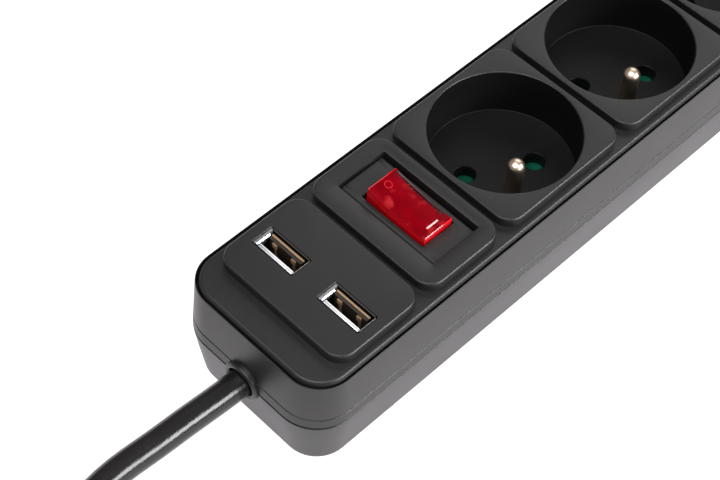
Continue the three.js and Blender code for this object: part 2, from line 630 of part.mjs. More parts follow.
// ---------- assembly ----------
addMesh('lower_tray', lowerTray(), blackPlastic);
addMesh('upper_frame', upperFrame(), blackPlastic);
addMesh('top_cover', topCover(), blackPlastic);
addMesh('cord_clamp', cordClamp(), blackPlastic);
CLAMP_SCREW_YS.forEach((y, i) => addMesh(`clamp_screw_${i + 1}`, clampScrew(y), steel));
bossSpots.forEach((spot, i) => addMesh(`case_screw_${i + 1}`, caseScrew(spot), steel));

SOCKET_XS.forEach((x, i) => {
  addMesh(`socket_cup_${i + 1}`, socketCup(x), wellPlastic);
  addMesh(`earth_pin_${i + 1}`, earthPin(x), nickel);
  addMesh(`shutter_${i + 1}`, shutter(x), shutterGreen);
  addMesh(`shutter_spring_${i + 1}`, shutterSpring(x), steel);
});
addMesh('live_busbar', busbar(1), brass);
addMesh('neutral_busbar', busbar(-1), brass);
addMesh('earth_busbar', earthBusbar(), brass);

addMesh('switch_housing', switchHousing(), blackPlastic);
addMesh('rocker', rocker(), rockerRed);
addMesh('rocker_pin', barX(1, SWITCH_X - 7.6, SWITCH_X + 7.6, 0, ROCKER_PIVOT_Z, 10), steel);
addMesh('switch_lamp', switchLamp(), glass);
TERMINAL_YS.forEach((y, i) => addMesh(`switch_terminal_${i + 1}`, terminal(y), brass));

addMesh('usb_board', usbBoard(), boardGreen);
[1, -1].forEach((side, i) => {
  addMesh(`usb_shell_${i + 1}`, usbShell(side), steel);
  addMesh(`usb_tongue_${i + 1}`, usbTongue(side), tongueCream);
});
addMesh('usb_transformer', usbTransformer(), coreYellow);
addMesh('usb_capacitor', usbCapacitor(), cordBlack);

const wirePaints = { wire_live: wireBrown, wire_neutral: wireBlue, wire_earth: wireGreenYellow };
for (const [name, route] of Object.entries(wireRoutes)) {
  addMesh(name, tube(route, WIRE_R, 8, 14), wirePaints[name]);
}

addMesh('mains_cord', tube(mainsCordRoute, CORD_R, 12, 14), cordBlack);
addMesh('cord_hank', cordHank(), cordBlack);
addMesh('cord_tie', cordTie(), cordBlack);
addMesh('plug_lead', tube(plugLeadRoute, CORD_R, 12, 6), cordBlack);
addMesh('plug_relief', plugRelief(), cordBlack);
addMesh('plug_body', plugBody(), blackPlastic);
[1, -1].forEach((side, i) => addMesh(`plug_pin_${i + 1}`, plugPin(side), nickel));

export default part;
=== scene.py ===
import math

import bpy
from mathutils import Matrix, Vector


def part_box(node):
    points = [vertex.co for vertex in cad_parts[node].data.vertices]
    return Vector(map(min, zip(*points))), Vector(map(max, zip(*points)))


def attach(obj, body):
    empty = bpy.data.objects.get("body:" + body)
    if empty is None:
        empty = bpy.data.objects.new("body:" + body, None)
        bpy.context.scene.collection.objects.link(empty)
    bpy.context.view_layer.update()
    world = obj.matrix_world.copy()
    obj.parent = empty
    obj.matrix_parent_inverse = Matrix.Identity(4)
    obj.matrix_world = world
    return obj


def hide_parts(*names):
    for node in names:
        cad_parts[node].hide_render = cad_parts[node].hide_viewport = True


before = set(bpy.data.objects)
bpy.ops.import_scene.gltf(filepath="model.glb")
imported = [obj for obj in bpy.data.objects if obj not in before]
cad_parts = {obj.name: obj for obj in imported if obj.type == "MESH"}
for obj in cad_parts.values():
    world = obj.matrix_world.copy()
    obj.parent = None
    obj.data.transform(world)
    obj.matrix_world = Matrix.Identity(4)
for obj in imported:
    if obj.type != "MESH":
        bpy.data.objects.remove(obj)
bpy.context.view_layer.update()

# Lengths are millimetres here and metres in Blender.
MM = 0.001
ROOT = "casing"
SHARP_EDGE = math.radians(32)


def box_mm(node):
    low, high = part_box(node)
    return [c / MM for c in low], [c / MM for c in high]


def centre_mm(node):
    low, high = box_mm(node)
    return [(a + b) / 2 for a, b in zip(low, high)]


# ---------- dimensions shared by the pieces ----------
HALF_X = 150.8
RIM_HALF_Y = 24.5
CORNER_R = 10.5
FLARE = 1.0
END_LEAN = 0.9
LINE_Z = 21.8
RIM_Z = 34.6
DECK_Z = 35.2
GROOVE_OUT = -0.5
COVER_UNDER_Z = box_mm("top_cover")[0][2]
SEAT_Z = COVER_UNDER_Z - 0.3
PAD_Z = box_mm("top_cover")[1][2]
TRAY_TOP_Z = box_mm("lower_tray")[1][2]
FRAME_BOTTOM_Z = box_mm("upper_frame")[0][2]
AXIS_Z = (TRAY_TOP_Z + FRAME_BOTTOM_Z) / 2

PAD_HALF_Y = 21.6
PAD_CORNER_R = 5.0
USB_PAD_X, USB_PAD_HALF = -126.6, 14.0
SWITCH_PAD_X, SWITCH_PAD_HALF = -97.6, 13.2

SCREWS = range(1, 7)
SOCKETS = range(1, 6)
SOCKET_X = {n: centre_mm(f"socket_cup_{n}")[0] for n in SOCKETS}
WELL_R = 20.0
WELL_FLOOR_Z = 23.0
PIN_SPACING = 19.0
PIN_R = 2.4
EARTH_OFFSET = 10.0
SOCKET_TURN = math.radians(-30)

SWITCH_X = centre_mm("switch_housing")[0]
BEZEL_Z = box_mm("switch_housing")[1][2]
PORT_X = centre_mm("usb_shell_1")[0]
PORT_Y = centre_mm("usb_shell_1")[1]

CORD_D = 7.4
CORD_R = CORD_D / 2

# ---------- camera ----------
CAMERA_AT = (-300.0, -178.4, 389.6)
CAMERA_RIGHT = Vector((0.71435, -0.69932, 0.02554))
CAMERA_FORWARD = Vector((0.4299, 0.40976, -0.80454))


def add_camera():
    back = -CAMERA_FORWARD.normalized()
    right = (CAMERA_RIGHT - CAMERA_RIGHT.dot(back) * back).normalized()
    up = back.cross(right)
    data = bpy.data.cameras.new("camera")
    data.sensor_width = 36
    data.lens = 89.95
    camera = bpy.data.objects.new("camera", data)
    turn = Matrix((right, up, back)).transposed().to_4x4()
    camera.matrix_world = Matrix.Translation(Vector(CAMERA_AT) * MM) @ turn
    bpy.context.collection.objects.link(camera)
    bpy.context.scene.camera = camera


add_camera()


# ---------- materials ----------
def shader(name, color, rough, grain=(3000, 0.1), mottle=0.12, patch=45, **sockets):
    """A Principled material with a fine grain in its relief and slow patches in its colour and gloss.

    grain is the noise's scale per metre and the strength of its bump.
    """
    material = bpy.data.materials.new(name)
    material.use_nodes = True
    nodes, links = material.node_tree.nodes, material.node_tree.links
    bsdf = nodes["Principled BSDF"]
    for socket, value in sockets.items():
        bsdf.inputs[socket.replace("_", " ")].default_value = value

    place = nodes.new("ShaderNodeTexCoord")
    patches = nodes.new("ShaderNodeTexNoise")
    patches.inputs["Scale"].default_value = patch
    patches.inputs["Detail"].default_value = 5
    links.new(place.outputs["Object"], patches.inputs["Vector"])

    ramp = nodes.new("ShaderNodeValToRGB")
    dark = [c * (1 - mottle) for c in color]
    light = [min(1, c * (1 + mottle)) for c in color]
    ramp.color_ramp.elements[0].position = 0.3
    ramp.color_ramp.elements[0].color = (*dark, 1)
    ramp.color_ramp.elements[1].position = 0.7
    ramp.color_ramp.elements[1].color = (*light, 1)
    links.new(patches.outputs["Fac"], ramp.inputs["Fac"])
    links.new(ramp.outputs["Color"], bsdf.inputs["Base Color"])

    gloss = nodes.new("ShaderNodeMapRange")
    gloss.inputs["To Min"].default_value = max(0.02, rough - 0.06)
    gloss.inputs["To Max"].default_value = rough + 0.06
    links.new(patches.outputs["Fac"], gloss.inputs["Value"])
    links.new(gloss.outputs["Result"], bsdf.inputs["Roughness"])

    grains = nodes.new("ShaderNodeTexNoise")
    grains.inputs["Scale"].default_value = grain[0]
    grains.inputs["Detail"].default_value = 3
    links.new(place.outputs["Object"], grains.inputs["Vector"])
    bump = nodes.new("ShaderNodeBump")
    bump.inputs["Strength"].default_value = grain[1]
    bump.inputs["Distance"].default_value = 0.5 / grain[0]
    links.new(grains.outputs["Fac"], bump.inputs["Height"])
    links.new(bump.outputs["Normal"], bsdf.inputs["Normal"])
    return material


def srgb(*levels):
    """Linear colour from 0 to 255 display levels."""
    out = []
    for level in levels:
        c = level / 255
        out.append(c / 12.92 if c <= 0.04045 else ((c + 0.055) / 1.055) ** 2.4)
    return tuple(out)


black = shader("casing_plastic", srgb(21, 20, 20), 0.4, grain=(5200, 0.3))
# The wells' plastic: darker and less glossy than the casing, as painted shade in the socket recesses.
well_black = shader("well_plastic_painted_shade", srgb(14, 13, 14), 0.46, grain=(5200, 0.15), Specular_IOR_Level=0.18)
bezel_black = shader("bezel_plastic", srgb(27, 26, 26), 0.46, grain=(4200, 0.4))
cord_black = shader("cord_pvc", srgb(22, 21, 21), 0.21, grain=(900, 0.1), patch=120)
plug_black = shader("plug_rubber", srgb(24, 24, 25), 0.45, grain=(4200, 0.4))
nickel = shader("nickel", srgb(232, 212, 188), 0.3, grain=(2500, 0.03), Metallic=1.0)
steel = shader("steel", srgb(168, 168, 166), 0.34, grain=(2500, 0.08), Metallic=1.0)
# Three copies of the ports' one steel: the shell darkened as painted shade, the lip and bar painted
# bright as a highlight, the far end a grey painted sheen.
port_steel_painted_shade = shader("port_steel_painted_shade", srgb(70, 68, 66), 0.4, grain=(1800, 0.05), Metallic=1.0)
port_steel_painted_highlight = shader("port_steel_painted_highlight", srgb(238, 241, 246), 0.36, grain=(1800, 0.05), Metallic=1.0)
port_steel_painted_sheen = shader("port_steel_painted_sheen", srgb(150, 150, 152), 0.42, grain=(1800, 0.05), Metallic=1.0)
brass = shader("brass", srgb(201, 162, 74), 0.34, grain=(2500, 0.08), Metallic=1.0)
contact_tan = shader("contact_tan", srgb(122, 98, 72), 0.4, grain=(2500, 0.05))
shutter_green = shader("shutter_green", srgb(0, 78, 60), 0.5, grain=(3500, 0.1), Specular_IOR_Level=0.2)
tongue_tan = shader("tongue_tan", srgb(150, 122, 92), 0.42, grain=(3500, 0.1))
# The tongue's face: its cream plastic painted dark brown as the shade inside the port.
tongue_painted_shade = shader("tongue_painted_shade", srgb(34, 25, 18), 0.5, grain=(3500, 0.1))
board_green = shader("board_green", srgb(29, 90, 52), 0.35)
core_brown = shader("core_brown", srgb(138, 90, 42), 0.5, grain=(2500, 0.3))
wire_brown = shader("wire_brown", srgb(90, 53, 32), 0.35)
wire_blue = shader("wire_blue", srgb(28, 79, 160), 0.35)
wire_green_yellow = shader("wire_green_yellow", srgb(106, 154, 32), 0.35)
lamp_glass = shader("lamp_glass", srgb(232, 184, 144), 0.08, mottle=0.05)
print_white = shader("print_white", srgb(222, 186, 182), 0.4, mottle=0.03)
# The lens's sides and ends: a brighter red than the top, painted as the lamp's light passing through
# them.
rocker_red = shader(
    "rocker_red", srgb(196, 0, 18), 0.12, grain=(1700, 0.06), mottle=0.14, patch=420,
    Coat_Weight=0.5, Coat_Roughness=0.05,
)


def ribbed_red():
    """The rocker's top: clear red over fine crossing ribs, darker than the sides, with paler patches
    painted as the lamp's light showing through.
    """
    material = shader(
        "rocker_top_painted_light", srgb(120, 0, 12), 0.3, mottle=0.2, patch=300, Specular_IOR_Level=0.03,
    )
    nodes, links = material.node_tree.nodes, material.node_tree.links
    bsdf = nodes["Principled BSDF"]
    plain = bsdf.inputs["Base Color"].links[0].from_socket
    place = nodes["Texture Coordinate"].outputs["Object"]

    # Paler patches: painted light from the lamp showing through the lens.
    pale = nodes.new("ShaderNodeTexNoise")
    pale.inputs["Scale"].default_value = 170
    links.new(place, pale.inputs["Vector"])
    pale_ramp = nodes.new("ShaderNodeValToRGB")
    pale_ramp.color_ramp.elements[0].position = 0.56
    pale_ramp.color_ramp.elements[0].color = (0, 0, 0, 1)
    pale_ramp.color_ramp.elements[1].position = 0.68
    pale_ramp.color_ramp.elements[1].color = (1, 1, 1, 1)
    links.new(pale.outputs["Fac"], pale_ramp.inputs["Fac"])
    patched = nodes.new("ShaderNodeMix")
    patched.data_type = "RGBA"
    patched.inputs["B"].default_value = (*srgb(168, 34, 40), 1)
    links.new(pale_ramp.outputs["Color"], patched.inputs["Factor"])
    links.new(plain, patched.inputs["A"])

    colour = patched.outputs["Result"]
    for axis in ("X", "Y"):
        rib = nodes.new("ShaderNodeTexWave")
        rib.bands_direction = axis
        rib.inputs["Scale"].default_value = 628
        links.new(place, rib.inputs["Vector"])
        shade = nodes.new("ShaderNodeMapRange")
        shade.inputs["To Min"].default_value = 0.72
        shade.inputs["To Max"].default_value = 1.1
        links.new(rib.outputs["Fac"], shade.inputs["Value"])
        ribbed = nodes.new("ShaderNodeMix")
        ribbed.data_type = "RGBA"
        ribbed.blend_type = "MULTIPLY"
        ribbed.inputs["Factor"].default_value = 1
        links.new(colour, ribbed.inputs["A"])
        links.new(shade.outputs["Result"], ribbed.inputs["B"])
        colour = ribbed.outputs["Result"]
    links.new(colour, bsdf.inputs["Base Color"])
    return material


rocker_top_painted_light = ribbed_red()
# Dark red for the strip painted on the lens's +X edge as a serrated dark reflection.
painted_reflection_red = shader("painted_reflection_red", srgb(46, 6, 12), 0.3, mottle=0.1)
print_faint = shader("print_faint", srgb(172, 8, 26), 0.3, mottle=0.03)

NODE_MATERIALS = {
    "live_busbar": brass, "neutral_busbar": brass, "earth_busbar": brass,
    "switch_terminal_1": brass, "switch_terminal_2": brass, "switch_terminal_3": brass,
    "cord_clamp": black, "clamp_screw_1": steel, "clamp_screw_2": steel, "rocker_pin": steel,
    "switch_lamp": lamp_glass, "usb_board": board_green, "usb_transformer": core_brown,
    "usb_capacitor": cord_black, "wire_live": wire_brown, "wire_neutral": wire_blue,
    "wire_earth": wire_green_yellow,
}
for n in SOCKETS:
    NODE_MATERIALS[f"shutter_{n}"] = shutter_green
    NODE_MATERIALS[f"shutter_spring_{n}"] = steel


def paint_nodes():
    for node, material in NODE_MATERIALS.items():
        mesh = bpy.data.objects[node].data
        mesh.materials.clear()
        mesh.materials.append(material)


paint_nodes()


# ---------- mesh helpers ----------
class Mesh:
    """Points in millimetres and faces, gathered from several closed forms."""

    def __init__(self):
        self.points = []
        self.faces = []

    def add(self, points, faces):
        start = len(self.points)
        self.points += points
        self.faces += [[start + i for i in face] for face in faces]
        return self

    def loft(self, rings, closed=False):
        """Quads between rings of equal length; the ends are capped, or joined where closed."""
        size = len(rings[0])
        points = [p for ring in rings for p in ring]
        spans = len(rings) if closed else len(rings) - 1
        faces = []
        for level in range(spans):
            a, b = level * size, (level + 1) % len(rings) * size
            for k in range(size):
                j = (k + 1) % size
                faces.append([a + k, a + j, b + j, b + k])
        if not closed:
            last = (len(rings) - 1) * size
            faces.append(list(range(size))[::-1])
            faces.append([last + k for k in range(size)])
        return self.add(points, faces)

    def box(self, x0, x1, y0, y1, z0, z1):
        low = [(x0, y0, z0), (x1, y0, z0), (x1, y1, z0), (x0, y1, z0)]
        return self.loft([low, [(x, y, z1) for x, y, _ in low]])

    def object(self, name, material):
        data = bpy.data.meshes.new(name)
        data.from_pydata([[c * MM for c in p] for p in self.points], [], self.faces)
        data.materials.append(material)
        data.validate()
        obj = bpy.data.objects.new(name, data)
        bpy.context.collection.objects.link(obj)
        smooth(obj)
        return obj


def paint_faces(obj, material, test):
    """Gives the material to the faces whose centre (mm) and normal pass the test."""
    obj.data.materials.append(material)
    for face in obj.data.polygons:
        if test(face.center / MM, face.normal):
            face.material_index = len(obj.data.materials) - 1


def smooth(obj):
    obj.data.shade_smooth()
    obj.data.set_sharp_from_angle(angle=SHARP_EDGE)


def rounded(hx, hy, r, z, x=0.0, y=0.0, arc=12, side=12):
    """A rounded rectangle anticlockwise from above; rings with the same arc and side match."""
    arcs = []
    for sx, sy, start in ((1, 1, 0), (-1, 1, 90), (-1, -1, 180), (1, -1, 270)):
        cx, cy = x + sx * (hx - r), y + sy * (hy - r)
        turn = [math.radians(start + 90 * k / arc) for k in range(arc + 1)]
        arcs.append([(cx + r * math.cos(a), cy + r * math.sin(a), z) for a in turn])
    points = []
    for k, corner in enumerate(arcs):
        points += corner
        x0, y0, _ = corner[-1]
        x1, y1, _ = arcs[(k + 1) % 4][0]
        for step in range(1, side):
            t = step / side
            points.append((x0 + t * (x1 - x0), y0 + t * (y1 - y0), z))
    return points


def circle_to(ring, x, y, r, z):
    """A circle whose points lie at the same angles as the ring's."""
    angles = [math.atan2(py - y, px - x) for px, py, _ in ring]
    return [(x + r * math.cos(a), y + r * math.sin(a), z) for a in angles]


def circle(x, y, r, z, sides=64):
    turn = [2 * math.pi * k / sides for k in range(sides)]
    return [(x + r * math.cos(a), y + r * math.sin(a), z) for a in turn]


def casing_ring(out, z):
    """The casing's outline, moved outwards by out from its rim; its ends lean in as they rise."""
    lean = END_LEAN * min(max((z - AXIS_Z) / (RIM_Z - AXIS_Z), 0), 1)
    r = max(CORNER_R + out - lean, 0.6)
    return rounded(HALF_X + out - lean, RIM_HALF_Y + out, r, z, arc=16, side=24)


def fillet(out0, z0, out1, z1, steps=6):
    """Points of a quarter round from (out0, z0), upright there, to (out1, z1), level there."""
    points = []
    for k in range(steps + 1):
        a = math.pi / 2 * k / steps
        across, up = 1 - math.cos(a), math.sin(a)
        points.append((out0 + across * (out1 - out0), z0 + up * (z1 - z0)))
    return points


def bevel(out0, z0, out1, z1):
    """Points of a rounded edge like fillet's, with a flat at 45 degrees in its middle."""
    steps = [(0, 0), (0.03, 0.25), (0.12, 0.5), (0.5, 0.88), (0.75, 0.97), (1, 1)]
    return [(out0 + across * (out1 - out0), z0 + up * (z1 - z0)) for across, up in steps]


def about_x(points, y, z):
    """Turns points built round +Z so that +Z becomes +X, and moves them."""
    return [(pz, y + px, z + py) for px, py, pz in points]


def lathe(profile, x=0.0, y=0.0, sides=64):
    """Rings round an upright axis from (radius, z) points."""
    return [circle(x, y, max(r, 0.01), z, sides) for r, z in profile]


def lathe_x(profile, y, z, sides=64):
    """Rings round an axis along +X from (x, radius) points."""
    return [about_x(circle(0, 0, max(r, 0.01), x, sides), y, z) for x, r in profile]


def cut(obj, tool):
    """Takes the tool's volume out of the object and removes the tool."""
    modifier = obj.modifiers.new("cut", "BOOLEAN")
    modifier.operation = "DIFFERENCE"
    modifier.solver = "EXACT"
    modifier.object = tool
    bpy.context.view_layer.update()
    depsgraph = bpy.context.evaluated_depsgraph_get()
    result = bpy.data.meshes.new_from_object(obj.evaluated_get(depsgraph))
    obj.modifiers.clear()
    obj.data = result
    bpy.data.objects.remove(tool)
    smooth(obj)
    return obj


def place(obj, slot, *nodes, body=ROOT):
    """Puts a piece on its body and hides the CAD nodes that it stands for."""
    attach(obj, body)
    if nodes:
        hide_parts(*nodes)
    return obj


# ---------- cord ----------
HANK_NEAR_X, HANK_FAR_X = -243.0, -326.0
HANK_OUTER_R, HANK_INNER_R = 28.0, 20.4
HANK_START_R = 25.0
HANK_SPREAD_X = -262.0
HANK_TOP_Z = box_mm("cord_hank")[1][2]
LOW_Z = 0.1 + CORD_R
HIGH_Z = HANK_TOP_Z - CORD_R
OVER_Z = HANK_TOP_Z + 0.3 + CORD_R
PLUG_X, PLUG_Y = -357.0, -13.0

FROM_STRIP = [
    (-138.4, 0, 18.4), (-155, 0, 18.4), (-175, 0.6, 18.9), (-198, 0.4, 19.4),
    (-213, -4.4, 19.4), (-228, -15.6, OVER_Z), (HANK_NEAR_X, -HANK_START_R, OVER_Z),
]
INTO_PLUG = [
    (-316, -18, OVER_Z), (-331, -14.6, OVER_Z), (-345, PLUG_Y, OVER_Z), (PLUG_X - 6, PLUG_Y, OVER_Z),
]


def ease(x, start, end):
    """0 before start, 1 after end and a cosine between, for x running down from start to end."""
    t = min(max((x - start) / (end - start), 0), 1)
    return (1 - math.cos(math.pi * t)) / 2


def near_side(r0, z0, r1, z1, start, end, first=True):
    """One run of the hank on its -Y side, which changes from one place in the bundle to the next."""
    points = []
    for k in range(0 if first else 1, 10):
        x = HANK_NEAR_X + (HANK_FAR_X - HANK_NEAR_X) * k / 9
        t = ease(x, start, end)
        points.append((x, -(r0 + t * (r1 - r0)), z0 + t * (z1 - z0)))
    return points


def fold(x, r, z, start):
    """The inner points of a half turn about (x, 0), turning from the -Y side by way of -X."""
    turn = [math.radians(start - 180 * k / 8) for k in range(1, 8)]
    return [(x + r * math.cos(a), r * math.sin(a), z) for a in turn]


def far_side(r, z):
    return [(HANK_FAR_X + (HANK_NEAR_X - HANK_FAR_X) * k / 4, r, z) for k in range(5)]


def cord_points():
    """The cord's route: off the strip, four laps of the hank, and into the plug."""
    outer, inner = HANK_OUTER_R, HANK_INNER_R
    # radius and height before and after each lap's change of place, and where along X it changes
    laps = [
        (HANK_START_R, OVER_Z, outer, HIGH_Z, -294, -326),
        (outer, HIGH_Z, outer, LOW_Z, -294, -326),
        (outer, LOW_Z, inner, LOW_Z, -264, -294),
        (inner, LOW_Z, inner, HIGH_Z, -234, -264),
    ]
    points = list(FROM_STRIP)
    for k, (r0, z0, r1, z1, start, end) in enumerate(laps):
        run = near_side(r0, z0, r1, z1, start, end, first=k > 0)
        if k == 0:
            spread = outer - HANK_START_R
            run = [(x, -(HANK_START_R + spread * ease(x, HANK_NEAR_X, HANK_SPREAD_X)), z)
                   for x, _, z in run]
        points += run
        points += fold(HANK_FAR_X, r1, z1, 270)
        points += far_side(r1, z1)
        points += fold(HANK_NEAR_X, r1, z1, 90)
    points += near_side(inner, HIGH_Z, inner, OVER_Z, -234, -264)[:-2]
    return points + INTO_PLUG


def add_cord():
    curve = bpy.data.curves.new("cord", "CURVE")
    curve.dimensions = "3D"
    curve.bevel_depth = CORD_R * MM
    curve.bevel_resolution = 12
    curve.resolution_u = 6
    curve.use_fill_caps = True
    points = cord_points()
    spline = curve.splines.new("BEZIER")
    spline.bezier_points.add(len(points) - 1)
    for knot, point in zip(spline.bezier_points, points):
        knot.co = [c * MM for c in point]
        knot.handle_left_type = "AUTO"
        knot.handle_right_type = "AUTO"
    curve.materials.append(cord_black)
    cord = bpy.data.objects.new("cord", curve)
    bpy.context.collection.objects.link(cord)
    return place(cord, "cord_black", "mains_cord", "cord_hank", "plug_lead")


cord = add_cord()


# ---------- tie ----------
def add_tie():
    low, high = box_mm("cord_tie")
    thick, r = 0.8, 3.6

    def section(inset):
        """The strap's edge line, up one side, over the bundle and down the other."""
        y0, y1, top = low[1] + inset, high[1] - inset, high[2] - inset
        arc = [math.radians(90 * k / 8) for k in range(9)]
        corner = r - inset
        left = [(y0 + corner * (1 - math.cos(a)), top - corner * (1 - math.sin(a))) for a in arc]
        right = [(y0 + y1 - y, z) for y, z in reversed(left)]
        return [(y0, low[2]), *left, *right, (y1, low[2])]

    outline = section(0) + section(thick)[::-1]
    mesh = Mesh()
    stations = (low[0], low[0] + 0.15, high[0] - 0.15, high[0])
    mesh.loft([[(x, y, z) for y, z in outline] for x in stations])
    tie = mesh.object("hank_tie", plug_black)
    return place(tie, "cord_black", "cord_tie")


tie = add_tie()

# ---------- plug ----------
PLUG_BOX = box_mm("plug_body")
FACE_X = PLUG_BOX[0][0]
PLUG_R = 18.5


def add_plug_body():
    """The moulded grip, with its earth hole, the pins' roots, side slots and finger ribs cut in."""
    back = PLUG_BOX[1][0]
    profile = [(FACE_X, 0.01), (FACE_X, PLUG_R - 0.9)]
    profile += [(FACE_X + 0.9 * (1 - math.cos(a)), PLUG_R - 0.9 + 0.9 * math.sin(a))
                for a in (math.radians(15 * k) for k in range(1, 7))]
    profile += [(FACE_X + 14, PLUG_R), (FACE_X + 15, PLUG_R - 0.4), (FACE_X + 16.5, 16.6)]
    profile += [(FACE_X + 19, 14.8), (FACE_X + 22, 13.6), (FACE_X + 26, 12.6), (FACE_X + 30, 11.6)]
    profile += [(back - 1.6, 10.6), (back, 8.8)]
    profile += [(back, 0.01)]
    mesh = Mesh()
    mesh.loft(lathe_x(profile, PLUG_Y, OVER_Z, 96))
    plug = mesh.object("plug_grip", plug_black)
    earth_hole = [(FACE_X - 1, 2.9), (FACE_X + 0.4, 2.7), (FACE_X + 15, 2.7)]
    tool = Mesh()
    tool.loft(lathe_x(earth_hole, PLUG_Y, OVER_Z + EARTH_OFFSET, 32))
    for side in (1, -1):
        y = PLUG_Y + side * PIN_SPACING / 2
        tool.loft(lathe_x([(FACE_X - 1, PIN_R + 0.1), (FACE_X + 6, PIN_R + 0.1)], y, OVER_Z, 32))
        y = PLUG_Y + side * PLUG_R
        tool.box(FACE_X + 4, FACE_X + 15, y - 2, y + 2, OVER_Z - 2.6, OVER_Z + 2.6)
        for rib in range(5):
            x = FACE_X + 19.5 + 2.6 * rib
            y = PLUG_Y + side * 15.6
            tool.box(x, x + 1, y - 4, y + 4, OVER_Z - 6, OVER_Z + 6)
    cut(plug, tool.object("tool", plug_black))
    return place(plug, "casing_black", "plug_body")


def add_plug_pin(n, side):
    low, high = box_mm(f"plug_pin_{n}")
    y = PLUG_Y + side * PIN_SPACING / 2
    tip = [(low[0] + PIN_R * (1 - math.sin(a)) * 0.8, PIN_R * math.cos(a)) for a in
           (math.radians(90 - 15 * k) for k in range(7))]
    mesh = Mesh()
    mesh.loft(lathe_x([*tip, (high[0], PIN_R), (high[0], 0.01)], y, OVER_Z, 32))
    pin = mesh.object(f"plug_pin_metal_{n}", nickel)
    return place(pin, "nickel", f"plug_pin_{n}")


def add_relief():
    """A tapered sleeve of soft rings, each a little narrower towards the cord."""
    low, high = box_mm("plug_relief")
    length = high[0] - low[0]
    profile = [(low[0], 0.01), (low[0], 7.6)]
    rings = 7
    step = (length - 3) / rings
    for k in range(rings):
        x = low[0] + 2 + k * step
        r = 7.4 - 2.5 * (k + 0.5) / rings
        profile += [(x, r), (x + 0.3, r - 1), (x + 1.3, r - 1), (x + 1.6, r - 0.1)]
        profile += [(x + step - 0.3, r - 0.3)]
    profile += [(high[0] - 0.5, 4.9), (high[0], 4.5), (high[0], CORD_R + 0.05)]
    profile += [(high[0] - 6, CORD_R + 0.05), (high[0] - 6, 0.01)]
    mesh = Mesh()
    mesh.loft(lathe_x(profile, PLUG_Y, OVER_Z, 64))
    relief = mesh.object("plug_sleeve", plug_black)
    return place(relief, "cord_black", "plug_relief")


plug = add_plug_body()
plug_pins = [add_plug_pin(1, 1), add_plug_pin(2, -1)]
relief = add_relief()


# ---------- casing ----------
def cord_hole():
    """The round way through the end wall for the cord."""
    return Mesh().loft(lathe_x([(-HALF_X - 6, CORD_R + 0.4), (-HALF_X + 6, CORD_R + 0.4)], 0, AXIS_Z, 48))


def add_tray():
    """The lower half of the casing, with its screw wells."""
    bottom = fillet(-1, 2.5, -3.5, 0)[::-1]
    rings = [*bottom, (0.2, 11), (FLARE - 0.1, TRAY_TOP_Z - 1.5), (FLARE, TRAY_TOP_Z - 0.25),
             (FLARE - 0.2, TRAY_TOP_Z), (-1, TRAY_TOP_Z), (-2.8, 4.4), (-3.8, 3.6)]
    mesh = Mesh()
    mesh.loft([casing_ring(out, z) for out, z in rings])
    tray = mesh.object("tray_shell", black)
    tool = cord_hole()
    for n in SCREWS:
        x, y, _ = centre_mm(f"case_screw_{n}")
        tool.loft(lathe([(3.5, -1), (3.2, 0.1), (3.0, 0.4), (3.0, 3.0)], x, y, 40))
    cut(tray, tool.object("tool", black))
    return place(tray, "casing_black", "lower_tray")


def add_frame():
    """The side wall: out and up past the fine groove, over the rim, and down behind it to the seat."""
    groove = [(0.83, LINE_Z - 0.3), (0.76, LINE_Z - 0.22), (0.4, LINE_Z - 0.08), (0.4, LINE_Z + 0.08),
              (0.72, LINE_Z + 0.22), (0.8, LINE_Z + 0.3)]
    rim = [(0.1, RIM_Z - 0.4), (0.08, RIM_Z - 0.26), (0, RIM_Z - 0.16), (-0.12, RIM_Z - 0.2),
           (-0.34, RIM_Z - 0.7)]
    rings = [(-1.9, FRAME_BOTTOM_Z), (FLARE - 0.2, FRAME_BOTTOM_Z), (FLARE, FRAME_BOTTOM_Z + 0.25)]
    rings += groove + rim
    rings += [(GROOVE_OUT, RIM_Z - 1), (GROOVE_OUT, SEAT_Z), (-2.6, SEAT_Z), (-2.6, 30.7), (-1.9, 30.7)]
    mesh = Mesh()
    mesh.loft([casing_ring(out, z) for out, z in rings], closed=True)
    shell = mesh.object("frame_shell", black)
    cut(shell, cord_hole().object("tool", black))
    return place(shell, "casing_black", "upper_frame")


def add_collar():
    """A rounded lip round the cord, standing out of the end wall."""
    x = -HALF_X - FLARE - 0.35
    mid, thick = 4.85, 0.75
    profile = [(x + 1.6, mid - thick)]
    profile += [(x - thick * math.sin(a), mid - thick * math.cos(a)) for a in
                (math.radians(180 * k / 14) for k in range(15))]
    profile += [(x + 1.6, mid + thick)]
    mesh = Mesh()
    mesh.loft(lathe_x(profile, 0, AXIS_Z, 72), closed=True)
    return place(mesh.object("cord_collar", black), "casing_black")


def pad_rim(half_x, x):
    """The pad's outside from under the deck to the inner edge of its rounded top."""
    levels = [(0, DECK_Z - 1)] + bevel(0, PAD_Z - 0.55, -0.55, PAD_Z)
    return [rounded(half_x + out, PAD_HALF_Y + out, PAD_CORNER_R + out, z, x) for out, z in levels]


def add_cover():
    """The deck, open under each socket, the switch and the ports."""
    side = [(-0.72, COVER_UNDER_Z), (-0.72, DECK_Z - 1.1), (-0.8, DECK_Z - 0.9), (-1.18, DECK_Z - 0.35)]
    edge = [(-1.26, DECK_Z - 0.22), (-1.36, DECK_Z - 0.14), (-1.6, DECK_Z - 0.02), (-1.8, DECK_Z)]
    mesh = Mesh()
    mesh.loft([casing_ring(out, z) for out, z in side + edge])
    cover = mesh.object("cover_shell", black)
    tool = Mesh()
    for x in SOCKET_X.values():
        tool.loft(lathe([(WELL_R + 0.3, 30), (WELL_R + 0.3, 40)], x, 0, 64))
    for x, hx, hy in ((SWITCH_X, 8.4, 16.7), (USB_PAD_X, 12, 19)):
        tool.box(x - hx, x + hx, -hy, hy, 30, 40)
    cut(cover, tool.object("tool", black))
    return place(cover, "casing_black", "top_cover")


